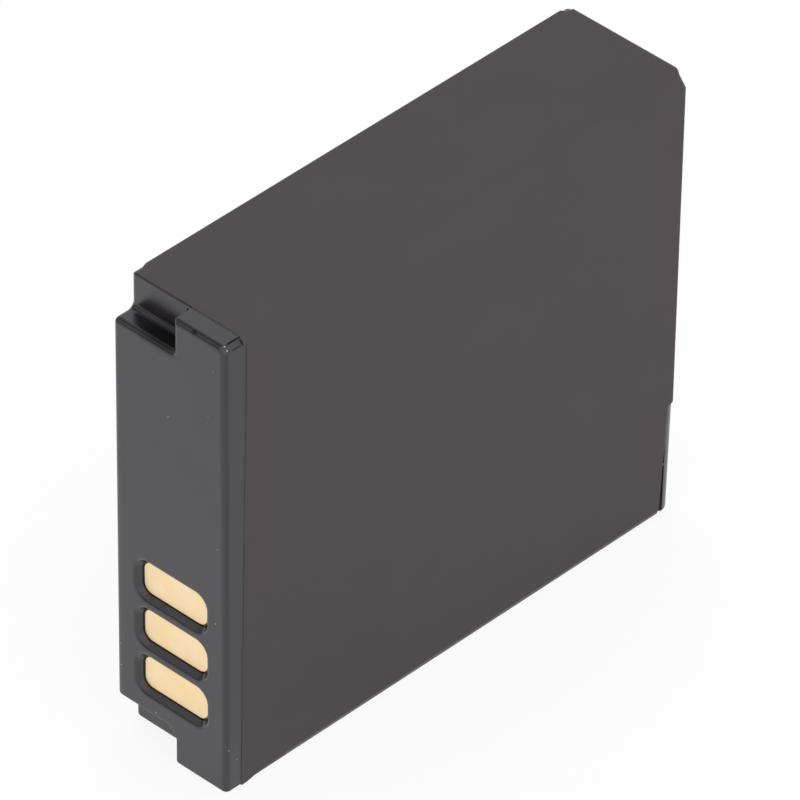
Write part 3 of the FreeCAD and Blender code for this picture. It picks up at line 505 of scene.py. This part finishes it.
def makeContactTree(look, material):
    tree, given, result = newGroup("contactPlate", [
        ("Geometry", "Geometry", None), ("Size", "Vector", (0.001, 0.001, 0.001)),
        ("Middle", "Vector", (0, 0, 0)), ("Waviness", "Float", 0.0), ("Wave Size", "Float", 1.0),
        ("Proud", "Float", 0.0), ("Border", "Float", 0.0001), ("Corner", "Float", 0.0001),
        ("Slope", "Float", 0.0001), ("Seed", "Int", 1),
    ], [("Geometry", "Geometry")], "GeometryNodeTree")
    plate = addNode(tree, "GeometryNodeMeshCube", {
        "Size": given["Size"], "Vertices X": 2,
        "Vertices Y": look["cellsAcross"], "Vertices Z": look["cellsUp"],
    }).outputs["Mesh"]
    place = addNode(tree, "GeometryNodeInputPosition").outputs[0]
    noise = addNode(tree, "ShaderNodeTexNoise", {
        "Vector": place, "W": given["Seed"], "Scale": maths(tree, "DIVIDE", 1.0, given["Wave Size"]),
        "Detail": look["waveDetail"],
    }, noise_dimensions="4D").outputs[0]
    # distance inside a rounded rectangle, for the proud part
    apart = vectorMaths(tree, "ABSOLUTE", place)
    inset = maths(tree, "ADD", given["Border"], given["Corner"])
    squares = []
    for axis in ("Y", "Z"):
        half = maths(tree, "MULTIPLY", axisOf(tree, given["Size"], axis), 0.5)
        over = maths(tree, "ADD", maths(tree, "SUBTRACT", axisOf(tree, apart, axis), half), inset)
        squares.append(maths(tree, "POWER", maths(tree, "MAXIMUM", over, 0.0), 2.0))
    away = maths(tree, "SQRT", maths(tree, "ADD", *squares))
    inside = maths(tree, "SUBTRACT", given["Corner"], away)
    raised = rangeOf(tree, inside, (0.0, given["Slope"]))
    lift = maths(tree, "SUBTRACT", maths(tree, "MULTIPLY", noise, given["Waviness"]),
                 maths(tree, "MULTIPLY", raised, given["Proud"]))
    moved = addNode(tree, "GeometryNodeSetPosition", {
        "Geometry": plate, "Selection": maths(tree, "LESS_THAN", axisOf(tree, place, "X"), 0.0),
        "Offset": addNode(tree, "ShaderNodeCombineXYZ", {0: lift}).outputs[0],
    }).outputs[0]
    placed = addNode(tree, "GeometryNodeTransform", {
        "Geometry": moved, "Translation": given["Middle"],
    }).outputs[0]
    angle = addNode(tree, "GeometryNodeInputMeshEdgeAngle").outputs[0]
    edged = addNode(tree, "GeometryNodeStoreNamedAttribute", {
        "Geometry": placed, "Name": "sharp_edge",
        "Value": maths(tree, "GREATER_THAN", angle, look["smoothAngle"]),
    }, data_type="BOOLEAN", domain="EDGE").outputs[0]
    smooth = addNode(tree, "GeometryNodeSetShadeSmooth", {"Geometry": edged}).outputs[0]
    real = addNode(tree, "GeometryNodeRealizeInstances", {"Geometry": smooth}).outputs[0]
    finished = addNode(tree, "GeometryNodeSetMaterial", {
        "Geometry": real, "Material": material,
    }).outputs[0]
    tree.links.new(finished, result.inputs[0])
    return tree


contactTree = makeContactTree(contactLook, contactGold)
for seed, node in enumerate(("contact_minus", "contact_sense", "contact_plus"), start=1):
    low, high = (Vector(corner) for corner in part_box(node))
    plate = growMesh(node + "_plate", contactTree, {
        "Size": high - low, "Middle": (low + high) / 2, "Seed": seed,
        "Waviness": contactLook["waviness"] * mm, "Wave Size": contactLook["waveSize"] * mm,
        "Proud": contactLook["proud"] * mm, "Border": contactLook["border"] * mm,
        "Corner": contactLook["corner"] * mm, "Slope": contactLook["slope"] * mm,
    })
    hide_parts(node)
    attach(plate, "root")
print("contact plates made")


# the film's fold at its front corner, which closes the space over the cap's bevel
foldLook = {
    "outline": [(-4.4, 34.95), (-4.57, 34.917), (-4.718, 34.818), (-4.817, 34.67), (-4.85, 34.5),
                (-4.75, 34.35), (-4.35, 34.8)],  # y and z, mm
    "start": -18.81,  # x, mm
    "end": -18.7,
}


def makeFold(look, material):
    points = [(x * mm, y * mm, z * mm) for x in (look["start"], look["end"]) for y, z in look["outline"]]
    count = len(look["outline"])
    sides = [(i, (i + 1) % count, (i + 1) % count + count, i + count) for i in range(count)]
    mesh = bpy.data.meshes.new("label_fold")
    mesh.from_pydata(points, [], [tuple(range(count))[::-1], tuple(range(count, 2 * count))] + sides)
    mesh.materials.append(material)
    fold = bpy.data.objects.new("label_fold", mesh)
    bpy.context.scene.collection.objects.link(fold)
    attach(fold, "root")


makeFold(foldLook, labelFilm)
print("label fold made")


# specks of dust on the contact end and the strip beside the label
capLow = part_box("front_cap")[0]
speckLook = {
    "endFace": [(-3.82, 32.77), (-3.39, 29.08), (0.04, 27.19), (-1.37, 2.25), (1.68, 2.85), (1.32, 3.14),
                (0.26, 3.59), (4.33, 5.24), (4.33, 3.85), (4.38, 6.93), (-4.15, 19.15)],  # y and z, mm
    "frontStrip": [(-20.25, 3.46), (-19.57, 2.37)],  # x and z, mm
    "size": 0.042,  # mm, radius
    "smallest": 0.6,
    "largest": 1.3,
    "seed": 4,
}
speckLook["places"] = [(capLow[0] / mm, y, z) for y, z in speckLook["endFace"]]
speckLook["places"] += [(x, capLow[1] / mm, z) for x, z in speckLook["frontStrip"]]
speckFinish = {
    "colour": (0.42, 0.41, 0.4), "otherColour": (0.26, 0.25, 0.25), "cloudSize": 1.0,
    "grainSize": 0.03, "patchSize": 1.0, "roughness": (0.6, 0.9), "bump": 0.4, "grainDepth": 0.01,
}
# a brighter grain beside the windows, and painted glints: two pale grains where the bevel meets the
# contact face
gritAndGlintLook = {
    "places": [(-20.475, -3.93, 13.21), (-20.16, -4.5, 34.84), (-20.12, -4.68, 34.6)],  # mm
    "size": 0.055,  # mm, radius
    "smallest": 0.8,
    "largest": 1.2,
    "seed": 2,
}
gritAndGlintFinish = {
    "colour": (0.45, 0.45, 0.44), "otherColour": (0.36, 0.36, 0.35), "cloudSize": 0.5,
    "grainSize": 0.03, "patchSize": 1.0, "roughness": (0.5, 0.7), "bump": 0.3, "grainDepth": 0.008,
}
# a burr of the frame's plastic in the seam beside the foot
burrLook = {
    "places": [(18.99, -4.76, 3.92)],  # mm
    "size": 0.13,  # mm, radius
    "smallest": 0.9,
    "largest": 1.1,
    "seed": 3,
}
# the grain that all three scatter
grainShape = {
    "subdivisions": 2,
    "mostTurn": 6.28,  # radians, about each axis
}


def makeSpeckTree(shape, material):
    tree, given, result = newGroup("dustSpecks", [
        ("Geometry", "Geometry", None), ("Radius", "Float", 0.0001),
        ("Smallest", "Float", 0.5), ("Largest", "Float", 1.5), ("Seed", "Int", 1),
    ], [("Geometry", "Geometry")], "GeometryNodeTree")
    grain = addNode(tree, "GeometryNodeMeshIcoSphere", {
        "Radius": given["Radius"], "Subdivisions": shape["subdivisions"],
    }).outputs[0]
    turn = addNode(tree, "FunctionNodeRandomValue", {
        1: (shape["mostTurn"],) * 3, "Seed": given["Seed"],
    }, data_type="FLOAT_VECTOR").outputs[0]
    smallest, largest = (
        addNode(tree, "ShaderNodeCombineXYZ", {axis: given[name] for axis in range(3)}).outputs[0]
        for name in ("Smallest", "Largest"))
    size = addNode(tree, "FunctionNodeRandomValue", {
        0: smallest, 1: largest, "Seed": given["Seed"],
    }, data_type="FLOAT_VECTOR").outputs[0]
    spread = addNode(tree, "GeometryNodeInstanceOnPoints", {
        "Points": given["Geometry"], "Instance": grain, "Rotation": turn, "Scale": size,
    }).outputs[0]
    real = addNode(tree, "GeometryNodeRealizeInstances", {"Geometry": spread}).outputs[0]
    finished = addNode(tree, "GeometryNodeSetMaterial", {
        "Geometry": real, "Material": material,
    }).outputs[0]
    tree.links.new(finished, result.inputs[0])
    return tree


def scatter(name, look, material):
    piece = growMesh(name, makeSpeckTree(grainShape, material), {
        "Radius": look["size"] * mm, "Smallest": look["smallest"], "Largest": look["largest"],
        "Seed": look["seed"],
    }, [tuple(value * mm for value in spot) for spot in look["places"]])
    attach(piece, "root")
    return piece


scatter("dust_specks", speckLook, makeFinish("paleDust", speckFinish))
scatter("grit_and_painted_glints", gritAndGlintLook, makeFinish("gritAndPaintedGlints", gritAndGlintFinish))
scatter("seam_burr", burrLook, framePlastic)
print("dust, grit and burr made")


# plain pale floor and soft studio light, with directions as (x, y, z)
studioLook = {
    "floorSize": 6.0,
    "floorColour": (0.97, 0.97, 0.97),
    "floorSeen": 0.88,  # share of plain white in what the camera sees of the floor
    "floorMirrored": 0.97,  # the same in reflections, beside the contact end
    # painted shadow: in reflections the floor is dimmer before the big face, standing in for the pack's
    # shadow there
    "frontLevel": 0.8,  # how bright that mirrored floor is before the big face
    "frontSide": (0.72, -0.69, 0.0),
    "frontSpan": (-0.016, -0.003),  # metres along that side, from full brightness to that level
    "skyColour": (1.0, 1.0, 1.0),
    "overhead": 0.95,
    "brightSide": (-0.45, -0.85, 0.3),
    "brightSky": 1.3,
    "rearSide": (0.57, 0.54, 0.62),
    "rearSpread": (0.75, 0.97),  # cosines off that side, from the lobe's rim to its middle
    "rearSky": 0.03,  # added to the rest
    "dimSide": (-0.743, 0.669, 0.0),
    "dimSpread": (0.45, 0.85),
    "dimHeights": (0.2, 0.6),
    "dimSky": 0.25,
    "darkSide": (-0.2, 0.55, 0.81),  # as dim, but only in reflections, for edges that face up and left
    "darkSpread": (0.85, 0.99),
}


def makeFloor(look):
    half = look["floorSize"] / 2
    corners = [(-half, -half, 0), (half, -half, 0), (half, half, 0), (-half, half, 0)]
    mesh = bpy.data.meshes.new("floor")
    mesh.from_pydata(corners, [], [(0, 1, 2, 3)])
    floor = bpy.data.objects.new("floor", mesh)
    bpy.context.scene.collection.objects.link(floor)
    material = bpy.data.materials.new("floorPaper")
    material.use_nodes = True
    tree = material.node_tree
    paper = tree.nodes["Principled BSDF"]
    paper.inputs["Base Color"].default_value = (*look["floorColour"], 1)
    paper.inputs["Roughness"].default_value = 1.0
    paper.inputs["Specular IOR Level"].default_value = 0.0
    rays = addNode(tree, "ShaderNodeLightPath").outputs
    place = addNode(tree, "ShaderNodeTexCoord").outputs["Object"]
    # painted shadow: the floor's brightness in reflections drops before the big face
    across = vectorMaths(tree, "DOT_PRODUCT", place, look["frontSide"], output="Value")
    missing = rangeOf(tree, across, look["frontSpan"], 0.0, 1.0 - look["frontLevel"])
    level = maths(tree, "SUBTRACT", 1.0, maths(tree, "MULTIPLY", rays["Is Glossy Ray"], missing))
    white = addNode(tree, "ShaderNodeEmission", {"Color": (1, 1, 1, 1), "Strength": level}).outputs[0]
    share = maths(tree, "MAXIMUM", maths(tree, "MULTIPLY", rays["Is Camera Ray"], look["floorSeen"]),
                  maths(tree, "MULTIPLY", rays["Is Glossy Ray"], look["floorMirrored"]))
    surface = addNode(tree, "ShaderNodeMixShader", {0: share, 1: paper.outputs[0], 2: white}).outputs[0]
    tree.links.new(surface, tree.nodes["Material Output"].inputs["Surface"])
    mesh.materials.append(material)


def makeSky(look):
    world = bpy.data.worlds.new("studio")
    world.use_nodes = True
    tree = world.node_tree
    direction = addNode(tree, "ShaderNodeTexCoord").outputs["Generated"]
    bright, dim, rear, dark = (
        vectorMaths(tree, "DOT_PRODUCT", direction, side, output="Value")
        for side in (Vector(look["brightSide"]).normalized(), look["dimSide"],
                     look["rearSide"], look["darkSide"]))
    lit = maths(tree, "ADD", rangeOf(tree, bright, (0.0, 1.0), look["overhead"], look["brightSky"]),
                rangeOf(tree, rear, look["rearSpread"], 0.0, look["rearSky"]))
    low = rangeOf(tree, axisOf(tree, direction, "Z"), look["dimHeights"], 1.0, 0.0)
    rays = addNode(tree, "ShaderNodeLightPath").outputs
    dimmed = maths(tree, "MULTIPLY", rangeOf(tree, dim, look["dimSpread"]), low)
    darkened = maths(tree, "MULTIPLY", rangeOf(tree, dark, look["darkSpread"]), rays["Is Glossy Ray"])
    share = maths(tree, "MAXIMUM", dimmed, darkened)
    level = maths(tree, "ADD", maths(tree, "MULTIPLY", lit, maths(tree, "SUBTRACT", 1.0, share)),
                  maths(tree, "MULTIPLY", share, look["dimSky"]))
    sky = tree.nodes["Background"]
    sky.inputs["Color"].default_value = (*look["skyColour"], 1)
    tree.links.new(level, sky.inputs["Strength"])
    seen = addNode(tree, "ShaderNodeBackground", {"Color": (1, 1, 1, 1), "Strength": 1.0}).outputs[0]
    both = addNode(tree, "ShaderNodeMixShader", {
        0: rays["Is Camera Ray"], 1: sky.outputs[0], 2: seen,
    }).outputs[0]
    tree.links.new(both, tree.nodes["World Output"].inputs["Surface"])
    bpy.context.scene.world = world


makeCamera(cameraLook)
makeFloor(studioLook)
makeSky(studioLook)
bpy.context.scene.view_settings.view_transform = "Standard"
print("camera, floor and light made")
